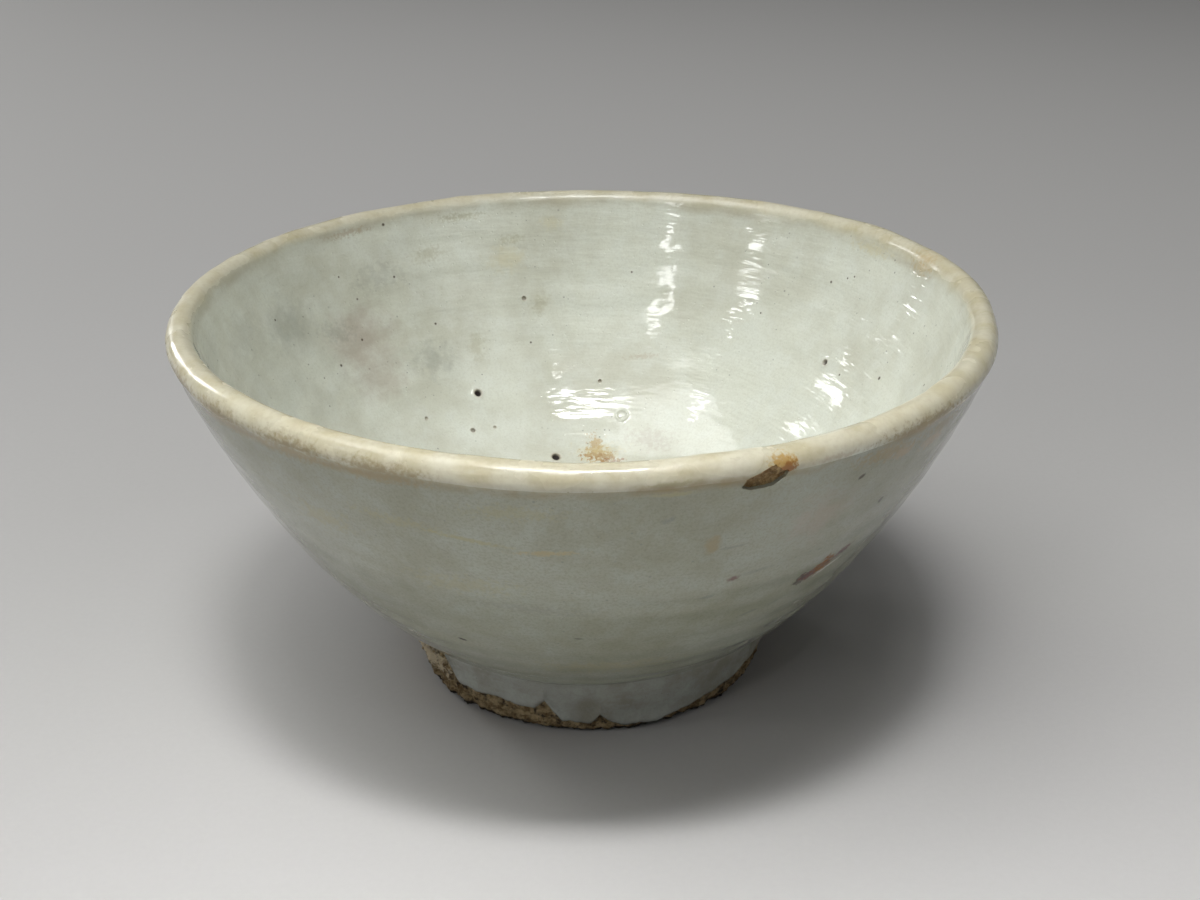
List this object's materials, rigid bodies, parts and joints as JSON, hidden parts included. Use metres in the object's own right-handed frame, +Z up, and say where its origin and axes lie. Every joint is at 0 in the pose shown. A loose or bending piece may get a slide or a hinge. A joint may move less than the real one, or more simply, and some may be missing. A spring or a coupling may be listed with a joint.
{
  "type": "tea bowl",
  "caption": "Wide conical ceramic tea bowl with a rounded lip and a turned foot ring, for whisking and drinking powdered tea; glazed inside and out, worn at the lip and foot.",
  "frame": {"origin": "centre of the foot ring in the plane that it stands on", "axes": "+Z up along the bowl's turning axis; -Y is the side with the lip chip nearly in front, and +X is to its right"},
  "size_m": [0.15, 0.15, 0.074],
  "materials": {
    "bare_clay": "unglazed fired clay, rough and matt, buff to dark brown",
    "inner_glaze": "glossy pale grey-green glaze with iron specks and pinholes",
    "lip_glaze": "glossy ivory glaze with ochre at its lower edge",
    "outer_glaze": "glossy grey-green glaze with throwing lines, streaks and scars",
    "foot_glaze": "bluish-grey glaze, thick, with a ragged lower edge"
  },
  "bodies": {
    "root": {"bowl_wall": "bare_clay", "foot_ring": "bare_clay", "inner_glaze": "inner_glaze", "lip_glaze": "lip_glaze", "outer_glaze": "outer_glaze", "foot_glaze": "foot_glaze", "recess_glaze": "foot_glaze"}
  },
  "joints": []
}
